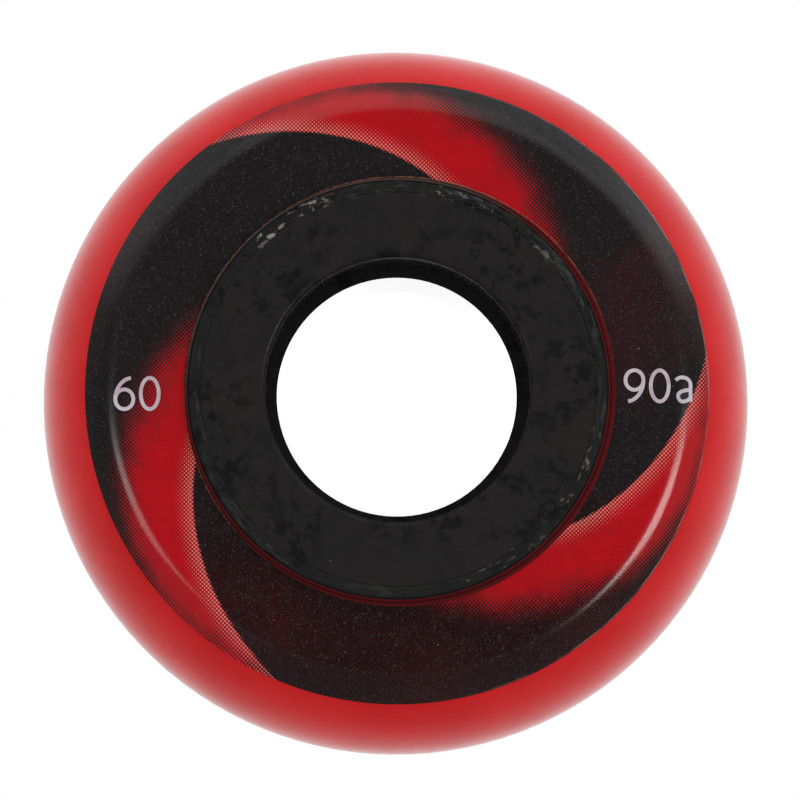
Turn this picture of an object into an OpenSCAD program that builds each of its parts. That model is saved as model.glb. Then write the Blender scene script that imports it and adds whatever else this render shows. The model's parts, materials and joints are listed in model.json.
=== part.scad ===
// Aggressive inline skate wheel: a urethane tyre cast round a moulded hub core,
// with a thin ring of ink printed on each sidewall.
// Sections are drawn about +Z with the front face up, then the wheel is stood on
// its tread: the axle runs along Y and the front faces -Y. Units are millimetres.

/* [Wheel] */
// Outside diameter, over the crown of the tread
wheel_d = 60; // [57:0.5:64]
// Width over the two hub faces
hub_w = 24; // [23.4:0.1:25]

/* [Tyre] */
// Width over the two flat sidewall panels
panel_w = 22.2; // [20.6:0.1:23]
// Diameter at which a flat panel would meet the round tread in a sharp corner
ridge_d = 48.1; // [46.5:0.1:49.6]
// Rounding of that corner
ridge_r = 2.6; // [1:0.1:3.2]

/* [Hub core] */
// Diameter of the hub face, where the core shows
core_d = 35.2; // [34:0.1:36.4]
// Rounding of the outer edge of the hub face
rim_r = 0.4; // [0.2:0.05:0.6]
// Diameter of the crease ring on the hub face
crease_d = 32.8; // [31:0.1:33.4]
// Width of the crease ring
crease_w = 0.22; // [0.16:0.02:0.6]
// Depth of the crease ring
crease_depth = 0.08; // [0.06:0.02:0.4]
// Thickness of the collar behind each hub face, which the tyre hooks under
collar_w = 2.6; // [1.8:0.1:3.4]
// Diameter of the waist between a collar and the anchor ring
waist_d = 32; // [30:0.2:33]

/* [Bearing seats] */
// Diameter of the bearing that presses into each face
bearing_d = 22; // [21.9:0.01:22.1]
// Width of that bearing
bearing_w = 7; // [6:0.1:8]
// Diametral clearance of the bearing in its seat
seat_clearance = 0; // [-0.04:0.01:0.04]
// Rounding of the bore mouth, which leads the bearing in
mouth_r = 0.4; // [0.2:0.05:0.6]
// Bore of the stop ring that keeps the two bearings apart
stop_d = 20.2; // [19:0.1:20.8]
// Chamfer on both edges of the stop ring
stop_chamfer = 0.15; // [0.1:0.05:0.3]

/* [Anchor ring] */
// Outside diameter of the anchor ring that the tyre is cast round
anchor_d = 44; // [42.4:0.2:46]
// Width of the anchor ring at its root
anchor_w = 8; // [6.4:0.2:9.6]
// Chamfer on the outer edges of the anchor ring
anchor_chamfer = 1; // [0.4:0.1:1.4]
// Number of lock holes, through which the urethane flows
lock_n = 12; // [8:1:16]
// Diameter of each lock hole
lock_d = 3.2; // [2.4:0.1:3.8]
// Diameter of the circle of lock holes
lock_pcd = 37.6; // [36.8:0.2:38.4]

/* [Print] */
// Thickness of the printed ink
ink_t = 0.08; // [0.06:0.01:0.15]
// Bare urethane left between the hub core and the print
print_gap = 0.15; // [0.05:0.05:0.6]
// Outside diameter of the print
print_d = 52; // [50:0.2:53.6]

/* [Hidden] */
$fn = 144;

wheel_r = wheel_d / 2;
panel_h = panel_w / 2;
hub_h = hub_w / 2;
core_r = core_d / 2;
waist_r = waist_d / 2;
anchor_r = anchor_d / 2;
anchor_h = anchor_w / 2;
seat_r = (bearing_d + seat_clearance) / 2;
stop_r = stop_d / 2;
stop_h = hub_h - bearing_w;

// The tread is one arc: its crown is at the middle, and its ends meet the panels at the ridge.
rise = wheel_r - ridge_d / 2;
crown_r = (rise * rise + panel_h * panel_h) / (2 * rise);
crown_x = wheel_r - crown_r;

// Centre of the ridge rounding, which touches both the panel and the tread arc.
round_y = panel_h - ridge_r;
round_x = crown_x + sqrt(pow(crown_r - ridge_r, 2) - pow(round_y, 2));
round_angle = atan2(round_y, round_x - crown_x);

// Slack for cutters that have to pass right through a face.
cut = 1;

// Turns what is built about +Z to the axle, front towards -Y.
module on_axle() {
    rotate([90, 0, 0])
        children();
}

// What is cut from a square outer corner, at the origin and towards +X and +Y, to round it.
module corner_waste(r) {
    translate([-r, -r])
        difference() {
            square(r + cut);
            circle(r = r);
        }
}

// Sharp corner of the tyre section outside its ridge rounding, to be cut away.
module ridge_corner(grow) {
    reach = ridge_r + grow + cut;
    turn = (90 + round_angle) / 2;
    translate([round_x, round_y])
        difference() {
            polygon([
                [0, 0],
                reach * [cos(round_angle), sin(round_angle)],
                2 * reach * [cos(turn), sin(turn)],
                reach * [0, 1],
            ]);
            circle(r = ridge_r + grow);
        }
}

// Half section of the tyre's outside, as radius and height, grown outwards for the ink.
module tyre_section(grow = 0) {
    difference() {
        intersection() {
            translate([crown_x, 0])
                circle(r = crown_r + grow);
            translate([0, -panel_h - grow])
                square([wheel_d, panel_w + 2 * grow]);
        }
        ridge_corner(grow);
        mirror([0, 1])
            ridge_corner(grow);
    }
}

// Upper half of the core's outside: anchor ring, waist, collar and hub face.
module core_half_section() {
    difference() {
        polygon([
            [0, 0],
            [anchor_r, 0],
            [anchor_r, anchor_h - anchor_chamfer],
            [anchor_r - anchor_chamfer, anchor_h],
            [waist_r, anchor_h],
            [waist_r, hub_h - collar_w],
            [core_r, hub_h - collar_w],
            [core_r, hub_h],
            [0, hub_h],
        ]);
        translate([core_r, hub_h])
            corner_waste(rim_r);
        translate([crease_d / 2, hub_h])
            polygon([
                [-crease_w / 2, 0],
                [-crease_w / 2, cut],
                [crease_w / 2, cut],
                [crease_w / 2, 0],
                [0, -crease_depth],
            ]);
    }
}

// Core without its bore. The tyre is cut by this same solid, so urethane fills the lock holes.
module core_body() {
    difference() {
        rotate_extrude() {
            core_half_section();
            mirror([0, 1])
                core_half_section();
        }
        for (i = [0 : lock_n - 1])
            rotate([0, 0, (i + 0.5) * 360 / lock_n])
                translate([lock_pcd / 2, 0, 0])
                    cylinder(d = lock_d, h = anchor_w + 2 * cut, center = true);
    }
}

// Half section of the empty bore: stop ring in the middle, bearing seat at the face.
module bore_half_section() {
    polygon([
        [0, -cut],
        [stop_r, -cut],
        [stop_r, stop_h - stop_chamfer],
        [stop_r + stop_chamfer, stop_h],
        [seat_r, stop_h],
        [seat_r, hub_h + cut],
        [0, hub_h + cut],
    ]);
    translate([seat_r, hub_h])
        mirror([1, 0])
            corner_waste(mouth_r);
}

// Cast red urethane, moulded onto the core.
module tyre() {
    color("firebrick")
        on_axle()
            difference() {
                rotate_extrude()
                    tyre_section();
                core_body();
            }
}

// Moulded black nylon core with a bearing seat in each face.
module hub_core() {
    color([0.13, 0.13, 0.13])
        on_axle()
            difference() {
                core_body();
                rotate_extrude() {
                    bore_half_section();
                    mirror([0, 1])
                        bore_half_section();
                }
            }
}

// Ring of ink that follows the panel, over the ridge and onto the tread's shoulder.
module print_ring() {
    rotate_extrude()
        difference() {
            intersection() {
                tyre_section(ink_t);
                translate([core_r + print_gap, 0])
                    square([print_d / 2 - core_r - print_gap, hub_w]);
            }
            tyre_section();
        }
}

// Ink on the front sidewall.
module front_print() {
    color([0.12, 0.11, 0.12])
        on_axle()
            print_ring();
}

// Ink on the back sidewall.
module back_print() {
    color([0.12, 0.11, 0.12])
        on_axle()
            mirror([0, 0, 1])
                print_ring();
}

tyre();
hub_core();
front_print();
back_print();
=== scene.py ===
"""Looks of an aggressive inline skate wheel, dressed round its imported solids.

The wheel stands on its tread with the axle along Y and the front face towards -Y.
Lengths are metres unless a name ends in _MM; shader coordinates are millimetres.
"""

import json
import math
from collections import namedtuple

import bmesh
import bpy
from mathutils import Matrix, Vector


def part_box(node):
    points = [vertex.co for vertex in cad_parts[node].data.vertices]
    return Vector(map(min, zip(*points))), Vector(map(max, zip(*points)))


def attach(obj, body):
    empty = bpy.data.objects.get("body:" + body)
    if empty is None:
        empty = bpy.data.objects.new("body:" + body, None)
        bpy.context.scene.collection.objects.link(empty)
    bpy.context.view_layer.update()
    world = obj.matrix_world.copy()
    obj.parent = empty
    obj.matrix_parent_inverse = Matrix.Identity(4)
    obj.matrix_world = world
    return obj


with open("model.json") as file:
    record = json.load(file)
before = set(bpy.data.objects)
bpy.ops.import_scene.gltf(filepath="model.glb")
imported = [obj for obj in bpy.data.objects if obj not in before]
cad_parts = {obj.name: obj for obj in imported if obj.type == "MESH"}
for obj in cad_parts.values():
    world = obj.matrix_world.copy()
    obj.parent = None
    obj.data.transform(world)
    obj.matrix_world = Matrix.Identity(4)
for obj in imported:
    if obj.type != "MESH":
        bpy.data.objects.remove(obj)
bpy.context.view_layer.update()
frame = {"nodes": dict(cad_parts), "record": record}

MM = 0.001


def hundredths_mm(length):
    """A length of the frame in millimetres, to the hundredth."""
    return round(length / MM, 2)


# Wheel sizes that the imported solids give.
TYRE_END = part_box("tyre")[1]
PRINT_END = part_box("back_print")[1]
FLOOR_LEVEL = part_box("tyre")[0].z
WHEEL_R_MM = hundredths_mm(TYRE_END.x)
PANEL_MM = hundredths_mm(TYRE_END.y)
HUB_MM = hundredths_mm(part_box("hub_core")[1].y)
INK_MM = hundredths_mm(PRINT_END.y - TYRE_END.y)
PRINT_OUT_R_MM = hundredths_mm(PRINT_END.x)
SEAT_R_MM = frame["record"]["mounts"][0]["dims"]["r_mm"]

# Wheel sizes within the solids, as the part's source has them.
STOP_R_MM = 10.1
CREASE_R_MM = 16.4
CORE_R_MM = 17.6
PRINT_IN_R_MM = 17.75
RIDGE_R_MM = 24.05
RIDGE_ROUND_MM = 2.6

# The tread is one arc that meets the flat panel at the ridge, where a small arc rounds it.
RISE_MM = WHEEL_R_MM - RIDGE_R_MM
CROWN_R_MM = (RISE_MM ** 2 + PANEL_MM ** 2) / (2 * RISE_MM)
CROWN_X_MM = WHEEL_R_MM - CROWN_R_MM
ROUND_Y_MM = PANEL_MM - RIDGE_ROUND_MM
ROUND_X_MM = CROWN_X_MM + math.sqrt((CROWN_R_MM - RIDGE_ROUND_MM) ** 2 - ROUND_Y_MM ** 2)

# A change from start to end while what it follows goes from low to high.
Ramp = namedtuple("Ramp", "low high start end smooth", defaults=(0.0, 1.0, True))

# Cloudy noise: its scale per mm, the ramp that its level goes through, its detail and roughness.
Cloud = namedtuple("Cloud", "scale low high start end detail roughness", defaults=(0.0, 1.0, 2.0, 0.5))

# A ring between two radii in mm, and the width over which its edges fade.
Band = namedtuple("Band", "inner outer soft")


def srgb(red, green, blue):
    """A colour as it is seen on screen, 0 to 255, as the linear values a shader takes."""
    def linear(value):
        part = value / 255
        if part <= 0.04045:
            return part / 12.92
        return ((part + 0.055) / 1.055) ** 2.4
    return (linear(red), linear(green), linear(blue), 1.0)


URETHANE_DEEP = srgb(218, 11, 18)
URETHANE_CLOUD = srgb(227, 20, 26)
# The urethane's red darkened: painted shade for the bare line round the core and for the film on the core's
# edge.
URETHANE_SHADE = srgb(104, 22, 25)
INK_BLACK = srgb(33, 29, 30)
# The print's black darkened: painted shade on the rounded ridge.
INK_RIDGE_SHADE = srgb(23, 19, 20)
INK_MAROON = srgb(38, 16, 17)
INK_GREY = srgb(74, 68, 70)
INK_RED = srgb(200, 12, 25)
INK_PALE = srgb(232, 160, 148)
INK_TAN = srgb(186, 116, 92)
EDGE_BROWN = srgb(88, 70, 66)
MARK_PALE = srgb(222, 214, 222)
MARK_THIN = srgb(208, 184, 194)
NYLON_BLACK = srgb(40, 38, 38)
NYLON_RIM = srgb(35, 35, 35)
NYLON_DARK = srgb(14, 13, 13)
NYLON_DUSTY = srgb(48, 46, 44)
NYLON_SCUFFED = srgb(84, 88, 85)
FLECK_PALE = srgb(166, 158, 150)
FLECK_GREY = srgb(96, 98, 102)
DUST = srgb(186, 170, 166)
FLOOR_PALE = (0.9, 0.9, 0.9, 1)
WHITE = (1, 1, 1, 1)


# Node building

# A Mix node has sockets of its own for colours, past those for values and vectors.
MIX_COLOUR_IN = (6, 7)
MIX_COLOUR_OUT = 2
MIX_VALUE_IN = (2, 3)
MIX_VALUE_OUT = 0


def feed(tree, socket, value):
    """Links a socket to another one, or sets its own value."""
    if isinstance(value, bpy.types.NodeSocket):
        tree.links.new(value, socket)
    else:
        socket.default_value = value


def feed_all(tree, sockets, values):
    """Feeds a row of sockets, each with its own value."""
    for socket, value in zip(sockets, values):
        feed(tree, socket, value)


def math_node(tree, operation, *values):
    node = tree.nodes.new("ShaderNodeMath")
    node.operation = operation
    feed_all(tree, node.inputs, values)
    return node.outputs[0]


def vector_math(tree, operation, *values):
    """The Vector and Value outputs of an operation on vectors."""
    node = tree.nodes.new("ShaderNodeVectorMath")
    node.operation = operation
    feed_all(tree, node.inputs, values)
    return node.outputs


def split_vector(tree, vector):
    node = tree.nodes.new("ShaderNodeSeparateXYZ")
    feed(tree, node.inputs[0], vector)
    return node.outputs


def join_vector(tree, *parts):
    node = tree.nodes.new("ShaderNodeCombineXYZ")
    feed_all(tree, node.inputs, parts)
    return node.outputs[0]


def coordinates(tree, kind):
    return tree.nodes.new("ShaderNodeTexCoord").outputs[kind]


def map_range(tree, value, low, high, start=0.0, end=1.0, smooth=True):
    """Goes from start to end while a value goes from low to high, and no further."""
    node = tree.nodes.new("ShaderNodeMapRange")
    node.interpolation_type = "SMOOTHSTEP" if smooth else "LINEAR"
    feed(tree, node.inputs["Value"], value)
    feed(tree, node.inputs["From Min"], low)
    feed(tree, node.inputs["From Max"], high)
    feed(tree, node.inputs["To Min"], start)
    feed(tree, node.inputs["To Max"], end)
    return node.outputs["Result"]


def mix_colour(tree, factor, below, above):
    """Goes from one colour to another while a factor goes from 0 to 1."""
    node = tree.nodes.new("ShaderNodeMix")
    node.data_type = "RGBA"
    feed(tree, node.inputs[0], factor)
    feed_all(tree, [node.inputs[i] for i in MIX_COLOUR_IN], (below, above))
    return node.outputs[MIX_COLOUR_OUT]


def mix_value(tree, factor, below, above):
    node = tree.nodes.new("ShaderNodeMix")
    feed(tree, node.inputs[0], factor)
    feed_all(tree, [node.inputs[i] for i in MIX_VALUE_IN], (below, above))
    return node.outputs[MIX_VALUE_OUT]


def mix_shader(tree, factor, below, above):
    node = tree.nodes.new("ShaderNodeMixShader")
    feed_all(tree, node.inputs, (factor, below, above))
    return node.outputs[0]


def product(tree, *values):
    """The values multiplied together, as masks are."""
    total = values[0]
    for value in values[1:]:
        total = math_node(tree, "MULTIPLY", total, value)
    return total


def weighed(tree, first, first_share, second, second_share):
    """Two values added up, each by its own share."""
    return math_node(tree, "MULTIPLY_ADD", first, first_share, product(tree, second, second_share))


def ring(tree, radius, band):
    """A mask that is 1 within a band, with soft edges."""
    rise = map_range(tree, radius, band.inner - band.soft, band.inner)
    fall = map_range(tree, radius, band.outer, band.outer + band.soft, 1.0, 0.0)
    return product(tree, rise, fall)


def noise(tree, place, scale, detail=2.0, roughness=0.5):
    """Smooth noise from 0 to 1, finer as its scale grows."""
    node = tree.nodes.new("ShaderNodeTexNoise")
    feed(tree, node.inputs["Vector"], place)
    feed(tree, node.inputs["Scale"], scale)
    node.inputs["Detail"].default_value = detail
    node.inputs["Roughness"].default_value = roughness
    return node.outputs["Fac"]


def patches(tree, place, cloud):
    """Soft patches over a surface, as a cloud gives them."""
    level = noise(tree, place, cloud.scale, cloud.detail, cloud.roughness)
    return map_range(tree, level, cloud.low, cloud.high, cloud.start, cloud.end)


def new_group(name, inputs, outputs):
    """An empty shader node group with its named sockets, and the sockets of its two end nodes."""
    tree = bpy.data.node_groups.new(name, "ShaderNodeTree")
    for label, kind in inputs:
        tree.interface.new_socket(label, in_out="INPUT", socket_type=kind)
    for label, kind in outputs:
        tree.interface.new_socket(label, in_out="OUTPUT", socket_type=kind)
    start = tree.nodes.new("NodeGroupInput")
    end = tree.nodes.new("NodeGroupOutput")
    return tree, start.outputs, end.inputs


def place_group(tree, group, **values):
    """Places a group with a value for each of its inputs, and gives its outputs."""
    node = tree.nodes.new("ShaderNodeGroup")
    node.node_tree = group
    for label, value in values.items():
        feed(tree, node.inputs[label.title()], value)
    return node.outputs


def new_material(name, plain_values):
    """A material whose shader has these plain values on its own sockets."""
    material = bpy.data.materials.new(name)
    material.use_nodes = True
    tree = material.node_tree
    shader = next(n for n in tree.nodes if n.type == "BSDF_PRINCIPLED")
    for label, value in plain_values.items():
        shader.inputs[label].default_value = value
    return material, tree, shader.inputs


def bump(tree, height, depth, normal_input):
    """Gives a surface the unevenness of a height from 0 to 1, as deep as that in metres."""
    node = tree.nodes.new("ShaderNodeBump")
    node.inputs["Strength"].default_value = 1.0
    node.inputs["Distance"].default_value = depth
    feed(tree, node.inputs["Height"], height)
    feed(tree, normal_input, node.outputs[0])


# Effects that several finishes share

WIDE_GRAIN = 0.12
FINE_SHARE = 0.6
WIDE_SHARE = 0.4
WIDE_GRAIN_TONE = Ramp(0.3, 0.7)
SMUDGES = Cloud(0.22, 0.42, 0.68, detail=4.0, roughness=0.6)
SPECK_CELLS = 0.9
SPECK_SIZES = Ramp(0.86, 1.0, 0.0, 0.11, smooth=False)
SPECK_MIDDLE = 0.4
SPECK_LEAST = 0.001


def wheel_coordinates_group():
    """Where a point is on the wheel: in its plane, from the axle, round it and along it, in mm."""
    tree, _, out = new_group(
        "wheel coordinates",
        [],
        [
            ("Place", "NodeSocketVector"),
            ("Flat", "NodeSocketVector"),
            ("Radius", "NodeSocketFloat"),
            ("Turn", "NodeSocketFloat"),
            ("Axial", "NodeSocketFloat"),
        ],
    )
    to_mm = (1 / MM, 1 / MM, 1 / MM)
    place = vector_math(tree, "MULTIPLY", coordinates(tree, "Object"), to_mm)["Vector"]
    axes = split_vector(tree, place)
    flat = join_vector(tree, axes["X"], axes["Z"])
    angle = math_node(tree, "ARCTAN2", axes["Z"], axes["X"])
    feed(tree, out["Place"], place)
    feed(tree, out["Flat"], flat)
    feed(tree, out["Radius"], vector_math(tree, "LENGTH", flat)["Value"])
    feed(tree, out["Turn"], math_node(tree, "DIVIDE", angle, 2 * math.pi))
    feed(tree, out["Axial"], axes["Y"])
    return tree


def moulded_grain_group():
    """The fine unevenness of a moulded or printed surface, as a height and a tone from 0 to 1."""
    tree, given, out = new_group(
        "moulded grain",
        [("Place", "NodeSocketVector"), ("Scale", "NodeSocketFloat")],
        [("Height", "NodeSocketFloat"), ("Tone", "NodeSocketFloat")],
    )
    fine = noise(tree, given["Place"], given["Scale"], detail=3.0, roughness=0.6)
    wide = noise(tree, given["Place"], product(tree, given["Scale"], WIDE_GRAIN))
    feed(tree, out["Height"], weighed(tree, fine, FINE_SHARE, wide, WIDE_SHARE))
    feed(tree, out["Tone"], map_range(tree, wide, *WIDE_GRAIN_TONE))
    return tree


def handling_group():
    """Marks from handling: soft smudges, and sparse pale specks of dust."""
    tree, given, out = new_group(
        "handling marks",
        [("Place", "NodeSocketVector"), ("Specks", "NodeSocketFloat")],
        [("Smudge", "NodeSocketFloat"), ("Speck", "NodeSocketFloat")],
    )
    feed(tree, out["Smudge"], patches(tree, given["Place"], SMUDGES))
    cells = tree.nodes.new("ShaderNodeTexVoronoi")
    feed(tree, cells.inputs["Vector"], given["Place"])
    feed(tree, cells.inputs["Scale"], SPECK_CELLS)
    chance = tree.nodes.new("ShaderNodeSeparateColor")
    feed(tree, chance.inputs[0], cells.outputs["Color"])
    size = product(tree, map_range(tree, chance.outputs[0], *SPECK_SIZES), given["Specks"])
    middle = product(tree, size, SPECK_MIDDLE)
    speck = map_range(tree, cells.outputs["Distance"], middle, size, 1.0, 0.0)
    shown = math_node(tree, "GREATER_THAN", size, SPECK_LEAST)
    feed(tree, out["Speck"], product(tree, speck, shown))
    return tree


WHEEL_COORDINATES = wheel_coordinates_group()
MOULDED_GRAIN = moulded_grain_group()
HANDLING = handling_group()


# The worn inner edge of a print, and the thin bare line between it and the core, darkened with painted
# shade

PRINT_SHIFT_MM = (0.2, -0.1, 0.0)
UPPER_LEFT = (-0.5, 0.87, 0.0)
BARE_R_MM = 17.85
BARE_LINE = Ramp(BARE_R_MM, BARE_R_MM + 0.06, 1.0, 0.0)
BROWNED_SIDE = Ramp(6.0, 14.0)
WORN_SIDE = Ramp(-8.0, 4.0)
TAN_LINE = Band(BARE_R_MM + 0.03, BARE_R_MM + 0.07, soft=0.04)
TAN_CRUMBS = Cloud(3.0, 0.35, 0.6, 0.2, 0.9)


def towards_upper_left(tree, wheel):
    """How far a point lies from the axle towards the upper left, in mm."""
    return vector_math(tree, "DOT_PRODUCT", wheel["Flat"], UPPER_LEFT)["Value"]


def edge_colour(tree, wheel):
    """The thin bare line round the core: the urethane's red darkened with painted shade, and browned on the
    upper left.
    """
    browned = map_range(tree, towards_upper_left(tree, wheel), *BROWNED_SIDE)
    return mix_colour(tree, browned, URETHANE_SHADE, EDGE_BROWN)


def bared(tree, wheel, colour):
    """A print's colour with its worn inner edge, laid a little off the wheel's middle, and the bare line
    inside it in the edge colour with its painted shade.
    """
    inner = vector_math(tree, "DISTANCE", wheel["Flat"], PRINT_SHIFT_MM)["Value"]
    worn_side = map_range(tree, towards_upper_left(tree, wheel), *WORN_SIDE)
    crumbs = patches(tree, wheel["Place"], TAN_CRUMBS)
    tan = product(tree, ring(tree, inner, TAN_LINE), crumbs, worn_side)
    colour = mix_colour(tree, tan, colour, INK_TAN)
    return mix_colour(tree, map_range(tree, inner, *BARE_LINE), colour, edge_colour(tree, wheel))


# Red urethane

URETHANE_GRAIN = 1.6
URETHANE_SPECKS = 0.4
URETHANE_DUST = 0.35
URETHANE_ROUGHNESS = Ramp(0.0, 1.0, 0.38, 0.44)
URETHANE_BUMP = 0.01 * MM
TURNING_LINES = 9.0
LINE_SHARE = 0.3
GRAIN_SHARE = 0.7
INSIDE_PRINT = Ramp(PRINT_IN_R_MM + 0.2, PRINT_IN_R_MM + 0.3, 1.0, 0.0)
URETHANE_VALUES = {
    "Specular IOR Level": 0.15,
    "Sheen Weight": 1.0,
    "Sheen Roughness": 0.31,
    "Subsurface Weight": 0.2,
    "Subsurface Radius": (1.0, 0.12, 0.1),
    "Subsurface Scale": 1.2 * MM,
}


def red_urethane():
    """Cast urethane: deep red, a little cloudy, with fine turning lines round the tread."""
    material, tree, shader = new_material("red urethane", URETHANE_VALUES)
    wheel = place_group(tree, WHEEL_COORDINATES)
    grain = place_group(tree, MOULDED_GRAIN, place=wheel["Place"], scale=URETHANE_GRAIN)
    marks = place_group(tree, HANDLING, place=wheel["Place"], specks=URETHANE_SPECKS)
    colour = mix_colour(tree, grain["Tone"], URETHANE_DEEP, URETHANE_CLOUD)
    colour = mix_colour(tree, product(tree, marks["Speck"], URETHANE_DUST), colour, DUST)
    inside = map_range(tree, wheel["Radius"], *INSIDE_PRINT)
    colour = mix_colour(tree, inside, colour, bared(tree, wheel, INK_BLACK))
    feed(tree, shader["Base Color"], colour)
    feed(tree, shader["Roughness"], map_range(tree, marks["Smudge"], *URETHANE_ROUGHNESS))
    lines = noise(tree, wheel["Axial"], TURNING_LINES, detail=3.0)
    height = weighed(tree, grain["Height"], GRAIN_SHARE, lines, LINE_SHARE)
    bump(tree, height, URETHANE_BUMP, shader["Normal"])
    return material


# Black nylon

# A patch of flecks, by its middle and half its width in turns from +X, and its strength.
FleckPatch = namedtuple("FleckPatch", "middle half strength")

FLECK_PATCHES = (
    FleckPatch(0.34, 0.05, 1.0),
    FleckPatch(0.17, 0.08, 0.6),
    FleckPatch(-0.07, 0.06, 0.4),
    FleckPatch(-0.16, 0.05, 0.35),
)
FLECK_FULL = 0.4
FLECK_STRETCH = 1.8
FLECK_CHIPS = Cloud(1.9, 0.56, 0.64, detail=4.0, roughness=0.65)
FLECK_ZONE = Band(CREASE_R_MM - 0.05, CORE_R_MM - 0.35, soft=0.15)
SCUFF_STRETCH = 5.0
SCUFF_STREAKS = Cloud(3.2, 0.5, 0.68, detail=4.0, roughness=0.65)
SCUFF_PATCHES = Cloud(0.5, 0.42, 0.62, detail=1.0)
SCUFF_ZONE = Band(CREASE_R_MM, CORE_R_MM - 0.25, soft=0.2)
SCUFF_STRENGTH = 0.45

NYLON_GRAIN = 5.0
NYLON_SPECKS = 0.5
NYLON_DUST = 0.7
SMUDGE_DUST = 0.3
GRAIN_DUST = 0.2
NYLON_BUMP = 0.012 * MM
STAINS = Cloud(0.8, 0.48, 0.6, detail=5.0, roughness=0.65)
STAINED_AREAS = Cloud(0.17, 0.4, 0.6, 0.1, 0.65)
RIM_STARTS = Ramp(CREASE_R_MM, CREASE_R_MM + 0.3)
# Where the core's rounded outer edge starts, for its roughness and its painted shade, and how strongly that
# shade darkens it.
ROUNDING_STARTS = Ramp(CORE_R_MM - 0.4, CORE_R_MM - 0.25)
ROUNDING_SHADE = 0.7
# Where the film of urethane on the core's edge starts; it takes the bare line's colour with its painted
# shade.
FILM_STARTS = Ramp(CORE_R_MM - 0.17, CORE_R_MM - 0.1)
GRAIN_STARTS = Ramp(SEAT_R_MM + 0.3, SEAT_R_MM + 0.5)
SATIN_STARTS = Ramp(SEAT_R_MM + 0.1, SEAT_R_MM + 0.5)
BORE_DEPTH = Ramp(HUB_MM - 0.75, HUB_MM - 0.55, 1.0, 0.0)
STOP_RING = Ramp(STOP_R_MM + 0.02, STOP_R_MM + 0.06, 1.0, 0.0)
SATIN_ROUGHNESS = Ramp(0.0, 1.0, 0.42, 0.38)
ROUNDING_ROUGHNESS = 0.9
MOUTH_ROUGHNESS = Ramp(SEAT_R_MM + 0.05, SEAT_R_MM + 0.12, 1.0, 0.22)
BORE_ROUGHNESS = 0.07
NYLON_VALUES = {"Specular IOR Level": 0.14, "Coat IOR": 1.3}


def along_crease(tree, wheel, stretch):
    """Coordinates that run along the crease ring, stretched out so that marks lie along it."""
    along = product(tree, wheel["Turn"], 2 * math.pi * CREASE_R_MM / stretch)
    return join_vector(tree, along, wheel["Radius"], wheel["Axial"])


def fleck_patches(tree, turn):
    """How strongly flecks show at a place round the wheel."""
    shown = 0.0
    for patch in FLECK_PATCHES:
        away = math_node(tree, "ABSOLUTE", math_node(tree, "SUBTRACT", turn, patch.middle))
        strength = map_range(tree, away, FLECK_FULL * patch.half, patch.half, patch.strength, 0.0)
        shown = math_node(tree, "MAXIMUM", strength, shown)
    return shown


def crease_flecks(tree, wheel):
    """Where pale flecks are caught along the crease ring, in a few patches."""
    chips = patches(tree, along_crease(tree, wheel, FLECK_STRETCH), FLECK_CHIPS)
    zone = ring(tree, wheel["Radius"], FLECK_ZONE)
    return product(tree, chips, fleck_patches(tree, wheel["Turn"]), zone)


def rim_scuffs(tree, wheel):
    """Where the rim outside the crease ring is rubbed, in streaks that run round it."""
    line = along_crease(tree, wheel, SCUFF_STRETCH)
    streaks = patches(tree, line, SCUFF_STREAKS)
    zone = ring(tree, wheel["Radius"], SCUFF_ZONE)
    return product(tree, streaks, patches(tree, line, SCUFF_PATCHES), zone, SCUFF_STRENGTH)


def worn_nylon(tree, wheel, grain, marks):
    """The core's black: dusty and stained, with scuffs, dust and flecks."""
    rim = map_range(tree, wheel["Radius"], *RIM_STARTS)
    colour = mix_colour(tree, rim, NYLON_BLACK, NYLON_RIM)
    dusty = weighed(tree, marks["Smudge"], SMUDGE_DUST, grain["Height"], GRAIN_DUST)
    colour = mix_colour(tree, dusty, colour, NYLON_DUSTY)
    stains = patches(tree, wheel["Place"], STAINS)
    stained = product(tree, stains, patches(tree, wheel["Place"], STAINED_AREAS))
    colour = mix_colour(tree, stained, colour, NYLON_DARK)
    colour = mix_colour(tree, rim_scuffs(tree, wheel), colour, NYLON_SCUFFED)
    colour = mix_colour(tree, product(tree, marks["Speck"], NYLON_DUST), colour, DUST)
    fleck = mix_colour(tree, grain["Tone"], FLECK_GREY, FLECK_PALE)
    return mix_colour(tree, crease_flecks(tree, wheel), colour, fleck)


def edged_nylon(tree, wheel, rounding, colour):
    """A colour of the core, with painted shade on its rounded edge, and outside that a film of urethane in
    the bare line's colour with its painted shade.
    """
    colour = mix_colour(tree, product(tree, rounding, ROUNDING_SHADE), colour, NYLON_DARK)
    film = map_range(tree, wheel["Radius"], *FILM_STARTS)
    return mix_colour(tree, film, colour, edge_colour(tree, wheel))


def nylon_roughness(tree, wheel, rounding, marks):
    """Satin on the hub face, dull on its outer rounding, and polished in the bore."""
    face = map_range(tree, marks["Smudge"], *SATIN_ROUGHNESS)
    face = mix_value(tree, rounding, face, ROUNDING_ROUGHNESS)
    mouth = map_range(tree, wheel["Radius"], *MOUTH_ROUGHNESS)
    in_bore = map_range(tree, math_node(tree, "ABSOLUTE", wheel["Axial"]), *BORE_DEPTH)
    mouth = mix_value(tree, in_bore, mouth, BORE_ROUGHNESS)
    return mix_value(tree, map_range(tree, wheel["Radius"], *SATIN_STARTS), mouth, face)


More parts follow.
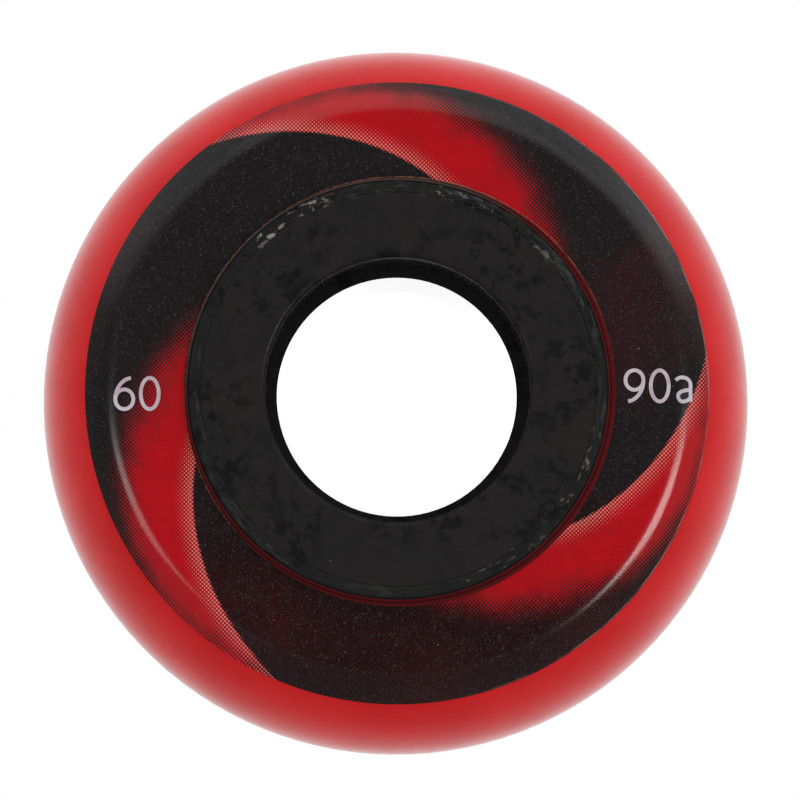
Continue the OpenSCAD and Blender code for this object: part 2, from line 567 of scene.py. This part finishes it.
def black_nylon():
    """Moulded nylon: a worn satin black, with a gloss coat on the bore's stop ring."""
    material, tree, shader = new_material("black nylon", NYLON_VALUES)
    wheel = place_group(tree, WHEEL_COORDINATES)
    grain = place_group(tree, MOULDED_GRAIN, place=wheel["Place"], scale=NYLON_GRAIN)
    marks = place_group(tree, HANDLING, place=wheel["Place"], specks=NYLON_SPECKS)
    rounding = map_range(tree, wheel["Radius"], *ROUNDING_STARTS)
    colour = edged_nylon(tree, wheel, rounding, worn_nylon(tree, wheel, grain, marks))
    feed(tree, shader["Base Color"], colour)
    feed(tree, shader["Roughness"], nylon_roughness(tree, wheel, rounding, marks))
    feed(tree, shader["Coat Weight"], map_range(tree, wheel["Radius"], *STOP_RING))
    on_face = map_range(tree, wheel["Radius"], *GRAIN_STARTS)
    bump(tree, product(tree, grain["Height"], on_face), NYLON_BUMP, shader["Normal"])
    return material


# Printed ink

BLADES = 3
BLADE_LEAD_TURN = 0.225
BLADE_SWEEP = 0.4
BLADE_START = Ramp(0.0, 0.02)
BLADE_FADE = Ramp(0.14, 0.5, 1.0, 0.0)
BLADE_BORDER = Ramp(RIDGE_R_MM + 0.4, PRINT_OUT_R_MM - 0.2, 1.0, 0.68)
BLADE_CLOUDS = Cloud(0.5, 0.3, 0.7, 0.8, 1.0, detail=4.0)
RED_HAZE = Cloud(0.07, 0.4, 0.7, 0.0, 0.2, detail=0.0)
ACCENT_FADE = Ramp(0.0, 0.13, 0.6, 0.0)
SCREEN_PITCH_MM = 0.24
SCREEN_DEGREES = 45
BLACK_COVER = Ramp(0.0, 1.0, 1.9, 0.16, smooth=False)
BLACK_DOT_SOFT = 0.9
PALE_DOT_SOFT = 0.35
EDGE_ROW = Band(PRINT_OUT_R_MM - 0.11, PRINT_OUT_R_MM - 0.04, soft=0.03)
EDGE_BEADS = Ramp(-0.6, 0.8, 0.3, 1.0)
EDGE_RIGHTWARD = Ramp(2.0, 20.0, 0.0, 0.6)
EDGE_PATCHES = Cloud(0.3, 0.35, 0.6, detail=3.0)
MAROON_BELOW = Ramp(-5.0, -16.0)
THIN_INK = Cloud(1.3, 0.4, 0.75, 0.05, 0.55, detail=4.0, roughness=0.7)
DOT_MIDDLES = Ramp(0.5, 1.0)
PINHOLES = Cloud(6.5, 0.58, 0.78, detail=1.0)

INK_GRAIN = 6.0
INK_SPECKS = 0.55
INK_DUST = 0.8
INK_BUMP = 0.006 * MM
INK_ROUGHNESS = Ramp(0.0, 1.0, 0.32, 0.36)
# Where the rounded ridge starts: for its gloss coat, and for the painted shade on its black.
RIDGE_STARTS = Ramp(ROUND_X_MM + 0.08, ROUND_X_MM + 0.4)
RIDGE_COAT = 0.9
INK_VALUES = {"Specular IOR Level": 0.12, "Coat Roughness": 0.2}


def blade_phase(tree, wheel):
    """Runs from 0 at a blade's leading edge to 1 at the next one, swept back towards the rim."""
    span = PRINT_OUT_R_MM - PRINT_IN_R_MM
    out = math_node(tree, "DIVIDE", math_node(tree, "SUBTRACT", wheel["Radius"], PRINT_IN_R_MM), span)
    turn = product(tree, math_node(tree, "SUBTRACT", wheel["Turn"], BLADE_LEAD_TURN), -BLADES)
    return math_node(tree, "FRACT", math_node(tree, "MULTIPLY_ADD", out, BLADE_SWEEP, turn))


def screen_spot(tree, flat):
    """A printer's dot screen: 1 at the middle of each dot, 0 midway between dots."""
    turned = tree.nodes.new("ShaderNodeVectorRotate")
    turned.rotation_type = "Z_AXIS"
    feed(tree, turned.inputs["Vector"], flat)
    feed(tree, turned.inputs["Angle"], math.radians(SCREEN_DEGREES))
    axes = split_vector(tree, turned.outputs[0])
    waves = []
    for axis in ("X", "Y"):
        phase = product(tree, axes[axis], 2 * math.pi / SCREEN_PITCH_MM)
        waves.append(math_node(tree, "COSINE", phase))
    # The two waves add up to between -2 and 2.
    return math_node(tree, "MULTIPLY_ADD", math_node(tree, "ADD", *waves), 0.25, 0.5)


def printed(tree, spot, cover, soft):
    """Where a screen lays ink: its dots grow with the cover, and run together once that passes 1."""
    edge = math_node(tree, "SUBTRACT", 1.0, cover)
    return map_range(tree, spot, edge, math_node(tree, "ADD", edge, soft))


def blade_layers(tree, wheel, spot):
    """Where black dots cover the red blades, and where pale dots light their leading edges."""
    phase = blade_phase(tree, wheel)
    start = map_range(tree, phase, *BLADE_START)
    border = map_range(tree, wheel["Radius"], *BLADE_BORDER)
    clouds = patches(tree, wheel["Place"], BLADE_CLOUDS)
    red = product(tree, map_range(tree, phase, *BLADE_FADE), start, border, clouds)
    red = math_node(tree, "MAXIMUM", red, patches(tree, wheel["Place"], RED_HAZE))
    black = printed(tree, spot, map_range(tree, red, *BLACK_COVER), BLACK_DOT_SOFT)
    accent = product(tree, map_range(tree, phase, *ACCENT_FADE), start, border)
    between = math_node(tree, "SUBTRACT", 1.0, spot)
    return black, printed(tree, between, accent, PALE_DOT_SOFT)


def edge_row(tree, wheel):
    """The last row of the screen's pale dots, which shows along the right of the print's outer edge."""
    count = round(2 * math.pi * PRINT_OUT_R_MM / SCREEN_PITCH_MM)
    wave = math_node(tree, "COSINE", product(tree, wheel["Turn"], 2 * math.pi * count))
    beads = map_range(tree, wave, *EDGE_BEADS)
    row = ring(tree, wheel["Radius"], EDGE_ROW)
    rightward = map_range(tree, split_vector(tree, wheel["Flat"])["X"], *EDGE_RIGHTWARD)
    return product(tree, beads, row, rightward, patches(tree, wheel["Place"], EDGE_PATCHES))


def dark_ink_and_ridge_shade(tree, wheel, ridge):
    """The print's black, darkened with painted shade on the ridge, and maroon low on the wheel."""
    low = map_range(tree, split_vector(tree, wheel["Flat"])["Y"], *MAROON_BELOW)
    return mix_colour(tree, low, mix_colour(tree, ridge, INK_BLACK, INK_RIDGE_SHADE), INK_MAROON)


def worn_ink(tree, wheel, spot):
    """Where the black has worn grey: at the middles of its dots, and in pinholes."""
    thin = patches(tree, wheel["Place"], THIN_INK)
    dots = product(tree, thin, map_range(tree, spot, *DOT_MIDDLES))
    return math_node(tree, "MAXIMUM", dots, patches(tree, wheel["Place"], PINHOLES))


def print_colour(tree, wheel, ridge, marks):
    """Red blades that fade into black through the dot screen, worn and dusty."""
    spot = screen_spot(tree, wheel["Flat"])
    black, pale = blade_layers(tree, wheel, spot)
    colour = mix_colour(tree, black, INK_RED, dark_ink_and_ridge_shade(tree, wheel, ridge))
    colour = mix_colour(tree, pale, colour, INK_PALE)
    worn = product(tree, worn_ink(tree, wheel, spot), black)
    colour = mix_colour(tree, worn, colour, INK_GREY)
    colour = mix_colour(tree, product(tree, marks["Speck"], INK_DUST), colour, DUST)
    colour = mix_colour(tree, edge_row(tree, wheel), colour, INK_PALE)
    return bared(tree, wheel, colour)


def printed_ink():
    """Screen printed ink: low in gloss on the flat panel, with a gloss coat on the rounded ridge."""
    material, tree, shader = new_material("printed ink", INK_VALUES)
    wheel = place_group(tree, WHEEL_COORDINATES)
    grain = place_group(tree, MOULDED_GRAIN, place=wheel["Place"], scale=INK_GRAIN)
    marks = place_group(tree, HANDLING, place=wheel["Place"], specks=INK_SPECKS)
    ridge = map_range(tree, wheel["Radius"], *RIDGE_STARTS)
    feed(tree, shader["Base Color"], print_colour(tree, wheel, ridge, marks))
    feed(tree, shader["Roughness"], map_range(tree, marks["Smudge"], *INK_ROUGHNESS))
    feed(tree, shader["Coat Weight"], product(tree, ridge, RIDGE_COAT))
    bump(tree, grain["Height"], INK_BUMP, shader["Normal"])
    return material


# Size marks on the sidewalls

MARK_GRAIN = 7.0
MARK_ROUGHNESS = Ramp(0.3, 0.7, 0.3, 0.42)
MARK_HEIGHT_MM = 2.92
MARK_STROKE_MM = 0.31
MARK_THICK_MM = 0.03
MARK_X_MM = 21.6
MARK_DROP_MM = 0.35
STROKE_STEP_MM = 0.004
CLOSED_WITHIN_MM = 0.004
STEM_POINTS = 11

# Shares of a mark's height.
MARK_GAP = 0.1
DIGIT_WIDTH = 0.62
DIGIT_MIDDLE = DIGIT_WIDTH / 2
DIGIT_HALF = 0.255
LETTER_WIDTH = 0.53
LETTER_MIDDLE = 0.235
LETTER_RIGHT = 0.47
LETTER_BOWL = 0.225
STEM_TOP = 0.5
STEM_STEP = 0.04


def pale_ink():
    """The pale ink of the size marks, laid a little unevenly."""
    material, tree, shader = new_material("pale ink", {})
    wheel = place_group(tree, WHEEL_COORDINATES)
    grain = place_group(tree, MOULDED_GRAIN, place=wheel["Place"], scale=MARK_GRAIN)
    feed(tree, shader["Base Color"], mix_colour(tree, grain["Tone"], MARK_PALE, MARK_THIN))
    feed(tree, shader["Roughness"], map_range(tree, grain["Height"], *MARK_ROUGHNESS))
    bump(tree, grain["Height"], INK_BUMP, shader["Normal"])
    return material


def sidewall_height_mm(radius):
    """How far the printed sidewall stands from the wheel's middle plane, at a radius."""
    if radius <= ROUND_X_MM:
        return PANEL_MM + INK_MM
    touch = CROWN_X_MM + (ROUND_X_MM - CROWN_X_MM) * CROWN_R_MM / (CROWN_R_MM - RIDGE_ROUND_MM)
    if radius <= touch:
        grown = RIDGE_ROUND_MM + INK_MM
        return ROUND_Y_MM + math.sqrt(grown ** 2 - (radius - ROUND_X_MM) ** 2)
    grown = CROWN_R_MM + INK_MM
    return math.sqrt(grown ** 2 - (radius - CROWN_X_MM) ** 2)


def arc(centre, size, start, end, steps):
    """Points on part of an ellipse, by angles in degrees from +X."""
    points = []
    for i in range(steps + 1):
        angle = math.radians(start + (end - start) * i / steps)
        points.append((centre[0] + size[0] * math.cos(angle), centre[1] + size[1] * math.sin(angle)))
    return points


# Each glyph gives its width and its stroke paths, in a box one unit high.
def nought():
    return DIGIT_WIDTH, [arc((DIGIT_MIDDLE, 0.5), (DIGIT_HALF, 0.445), 90, 450, steps=48)]


def six():
    tail = arc((0.545, 0.34), (0.49, 0.605), 96, 183, steps=22)
    bowl = arc((DIGIT_MIDDLE, 0.335), (DIGIT_HALF, 0.28), 180, 540, steps=48)
    return DIGIT_WIDTH, [bowl, tail]


def nine():
    width, paths = six()
    return width, [[(width - x, 1 - y) for x, y in path] for path in paths]


def letter_a():
    hook = arc((LETTER_MIDDLE, 0.545), (LETTER_MIDDLE, 0.2), 145, 0, steps=18)
    stem = [(LETTER_RIGHT, STEM_TOP - STEM_STEP * (i + 1)) for i in range(STEM_POINTS)]
    top = arc((LETTER_RIGHT, LETTER_BOWL), (0.36, 0.165), 90, 180, steps=12)
    back = arc((LETTER_MIDDLE, LETTER_BOWL), (0.125, 0.17), 180, 270, steps=8)
    foot = arc((LETTER_MIDDLE, LETTER_BOWL), (LETTER_MIDDLE, 0.17), 270, 360, steps=12)
    return LETTER_WIDTH, [hook + stem, top + back + foot[1:]]


def across_stroke(before, after):
    """Half the stroke's width, square to the way from one point to another."""
    ahead = after - before
    return Vector((-ahead.y, ahead.x)).normalized() * MARK_STROKE_MM / 2


def stroke_row(mesh, point, across, side, thick):
    """The stroke's four corners at a point of its path: two on top, and two on the sidewall."""
    row = []
    for turn, lift in ((1, thick), (-1, thick), (-1, 0.0), (1, 0.0)):
        x = point.x + turn * across.x
        z = point.y + turn * across.y
        y = side * (sidewall_height_mm(math.hypot(x, z)) + lift)
        row.append(mesh.verts.new((x * MM, y * MM, z * MM)))
    return row


def ribbon(mesh, path, side, thick):
    """Adds a flat stroke along a path of points in mm, laid on the sidewall of that side."""
    points = [Vector(point) for point in path]
    closed = (points[0] - points[-1]).length < CLOSED_WITHIN_MM
    if closed:
        points.pop()
    last = len(points) - 1
    rows = []
    for i, point in enumerate(points):
        before = points[i - 1] if closed else points[max(i - 1, 0)]
        after = points[(i + 1) % len(points)] if closed else points[min(i + 1, last)]
        rows.append(stroke_row(mesh, point, across_stroke(before, after), side, thick))
    following = rows[1:] + rows[:1] if closed else rows[1:]
    for row, next_row in zip(rows, following):
        for i in range(len(row)):
            j = (i + 1) % len(row)
            mesh.faces.new((row[i], row[j], next_row[j], next_row[i]))
    if not closed:
        mesh.faces.new(rows[0])
        mesh.faces.new(reversed(rows[-1]))


def lay_glyphs(mesh, glyphs, centre, side):
    """Lays a row of glyphs round a place, each stroke of a glyph a step above the one before."""
    drawn = [glyph() for glyph in glyphs]
    total = sum(width for width, _ in drawn) + MARK_GAP * (len(drawn) - 1)
    start = -total / 2
    for width, paths in drawn:
        for level, path in enumerate(paths):
            placed = []
            for x, y in path:
                along = (start + x) * MARK_HEIGHT_MM
                placed.append((centre[0] - side * along, centre[1] + (y - 0.5) * MARK_HEIGHT_MM))
            ribbon(mesh, placed, side, MARK_THICK_MM + level * STROKE_STEP_MM)
        start += width + MARK_GAP


def size_mark(name, glyphs, centre, side, material):
    """A mark in pale ink on the front (side -1) or the back (side +1)."""
    mesh = bmesh.new()
    lay_glyphs(mesh, glyphs, centre, side)
    bmesh.ops.recalc_face_normals(mesh, faces=mesh.faces)
    data = bpy.data.meshes.new(name)
    mesh.to_mesh(data)
    mesh.free()
    data.materials.append(material)
    piece = bpy.data.objects.new(name, data)
    bpy.context.scene.collection.objects.link(piece)
    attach(piece, "root")


def add_size_marks(material):
    """On each side, the diameter in mm on the left, and the hardness of the tyre on the right."""
    for label, side in (("front", -1), ("back", 1)):
        left = side * MARK_X_MM
        size_mark(label + "_diameter_mark", (six, nought), (left, -MARK_DROP_MM), side, material)
        size_mark(label + "_hardness_mark", (nine, nought, letter_a), (-left, MARK_DROP_MM), side, material)


# Studio

FLOOR_HALF = 4.0
FLOOR_FADE = Ramp(0.1, 0.7)

# Lamps, by the direction that they stand in, their distance and size, and their power in watts.
Softbox = namedtuple("Softbox", "azimuth elevation distance width height power")
SOFTBOXES = {
    "right_softbox": Softbox(33.5, -9, 0.55, 0.21, 0.145, 1.15),
    "left_softbox": Softbox(-27, -7, 0.55, 0.18, 0.135, 0.44),
    "top_softbox": Softbox(0, 65, 0.8, 0.7, 0.5, 0.3),
}

# The room's light by direction: what falls on the wheel, and what its gloss shows.
ROOM_LEVEL = 0.83
ROOM_SLOPES = {"X": 0.11, "Y": 0.3, "Z": 0.16}
WHITE_BEHIND = Ramp(-0.08, 0.8)
WHITE_ABOVE = Ramp(0.28, 0.62)
DIM_OVERHEAD = Ramp(0.45, 0.9, 1.0, 0.38)
BRIGHTER_RIGHT = Ramp(-0.8, 0.8, 0.52, 1.08, smooth=False)
DIM_BELOW = Ramp(-0.9, -0.3, 0.75, 1.0)
DIM_TO_WHITE = Ramp(0.0, 1.0, 0.1, 1.0, smooth=False)
LIT_BACKDROP = Ramp(0.965, 0.985, 1.0, 1.34)

# Where the photograph was taken from.
CAMERA_AZIMUTH = -0.89
CAMERA_ELEVATION = -5.36
CAMERA_DISTANCE = 0.3904
CAMERA_AIM = Vector((0.00035, 0.0, 0.00019))
LENS_MM = 205.9
SENSOR_MM = 36.0


def dress(node, material):
    """Gives a CAD node its finish."""
    slots = frame["nodes"][node].data.materials
    slots.clear()
    slots.append(material)


def pale_floor():
    """A matt pale floor that runs out to white, and is clear from below."""
    material = bpy.data.materials.new("pale floor")
    material.use_nodes = True
    tree = material.node_tree
    tree.nodes.clear()
    matt = tree.nodes.new("ShaderNodeBsdfDiffuse")
    matt.inputs["Color"].default_value = FLOOR_PALE
    white = tree.nodes.new("ShaderNodeEmission")
    clear = tree.nodes.new("ShaderNodeBsdfTransparent")
    away = vector_math(tree, "DISTANCE", coordinates(tree, "Object"), (0, 0, FLOOR_LEVEL))["Value"]
    rays = tree.nodes.new("ShaderNodeLightPath").outputs
    far = product(tree, map_range(tree, away, *FLOOR_FADE), rays["Is Camera Ray"])
    top = mix_shader(tree, far, matt.outputs[0], white.outputs[0])
    facing = tree.nodes.new("ShaderNodeNewGeometry").outputs
    sides = mix_shader(tree, facing["Backfacing"], top, clear.outputs[0])
    out = tree.nodes.new("ShaderNodeOutputMaterial")
    feed(tree, out.inputs["Surface"], sides)
    return material


def add_floor():
    """The floor under the tread. The camera stands a little lower, so it sees through it."""
    corners = []
    for x, y in ((-1, -1), (1, -1), (1, 1), (-1, 1)):
        corners.append((x * FLOOR_HALF, y * FLOOR_HALF, FLOOR_LEVEL))
    data = bpy.data.meshes.new("floor")
    data.from_pydata(corners, [], [(0, 1, 2, 3)])
    data.materials.append(pale_floor())
    floor = bpy.data.objects.new("floor", data)
    bpy.context.scene.collection.objects.link(floor)
    floor.visible_diffuse = False
    floor.visible_glossy = False


def direction(azimuth, elevation):
    """From the wheel's centre: azimuth 0 is the front, -Y, and 90 is +X, in degrees."""
    a = math.radians(azimuth)
    e = math.radians(elevation)
    return Vector((math.sin(a) * math.cos(e), -math.cos(a) * math.cos(e), math.sin(e)))


def add_softbox(name, softbox):
    """A soft lamp that faces the wheel, and that the camera doesn't see."""
    lamp = bpy.data.lights.new(name, "AREA")
    lamp.shape = "RECTANGLE"
    lamp.size = softbox.width
    lamp.size_y = softbox.height
    lamp.energy = softbox.power
    box = bpy.data.objects.new(name, lamp)
    bpy.context.scene.collection.objects.link(box)
    box.location = direction(softbox.azimuth, softbox.elevation) * softbox.distance
    box.rotation_mode = "QUATERNION"
    box.rotation_quaternion = (-box.location).to_track_quat("-Z", "Y")
    box.visible_camera = False


def room_light(tree, way):
    """The light that falls on the wheel: a little stronger from the right, the back and above."""
    level = ROOM_LEVEL
    for axis, slope in ROOM_SLOPES.items():
        level = math_node(tree, "MULTIPLY_ADD", way[axis], slope, level)
    return level


def mirrored_room(tree, way):
    """The room as gloss shows it: white behind the wheel and above it, and dim in front."""
    behind = map_range(tree, way["Y"], *WHITE_BEHIND)
    above = map_range(tree, way["Z"], *WHITE_ABOVE)
    overhead = map_range(tree, way["Z"], *DIM_OVERHEAD)
    rightward = map_range(tree, way["X"], *BRIGHTER_RIGHT)
    below = map_range(tree, way["Z"], *DIM_BELOW)
    lit = math_node(tree, "MAXIMUM", behind, product(tree, above, overhead, rightward))
    level = map_range(tree, product(tree, lit, below), *DIM_TO_WHITE)
    return product(tree, level, map_range(tree, way["Y"], *LIT_BACKDROP))


def set_world():
    """A studio that is white to the camera, with its own levels for light and for reflections."""
    world = bpy.data.worlds.new("studio")
    bpy.context.scene.world = world
    world.use_nodes = True
    world.cycles.sampling_method = "NONE"
    tree = world.node_tree
    light = tree.nodes["Background"]
    light.inputs["Color"].default_value = WHITE
    rays = tree.nodes.new("ShaderNodeLightPath").outputs
    way = split_vector(tree, coordinates(tree, "Generated"))
    level = mix_value(tree, rays["Is Glossy Ray"], room_light(tree, way), mirrored_room(tree, way))
    seen = math_node(tree, "MAXIMUM", rays["Is Camera Ray"], rays["Is Transmission Ray"])
    feed(tree, light.inputs["Strength"], mix_value(tree, seen, level, 1.0))


def set_camera():
    """A long lens almost straight in front, a little low."""
    data = bpy.data.cameras.new("camera")
    data.sensor_width = SENSOR_MM
    data.lens = LENS_MM
    camera = bpy.data.objects.new("camera", data)
    bpy.context.scene.collection.objects.link(camera)
    back = direction(CAMERA_AZIMUTH, CAMERA_ELEVATION)
    camera.location = CAMERA_AIM + back * CAMERA_DISTANCE
    camera.rotation_mode = "QUATERNION"
    camera.rotation_quaternion = (-back).to_track_quat("-Z", "Y")
    bpy.context.scene.camera = camera


def main():
    """Dresses the solids, adds the size marks and sets up the studio."""
    ink = printed_ink()
    dress("tyre", red_urethane())
    dress("hub_core", black_nylon())
    dress("front_print", ink)
    dress("back_print", ink)
    add_size_marks(pale_ink())
    add_floor()
    for name, softbox in SOFTBOXES.items():
        add_softbox(name, softbox)
    set_world()
    set_camera()
    bpy.context.scene.view_settings.view_transform = "Standard"


main()
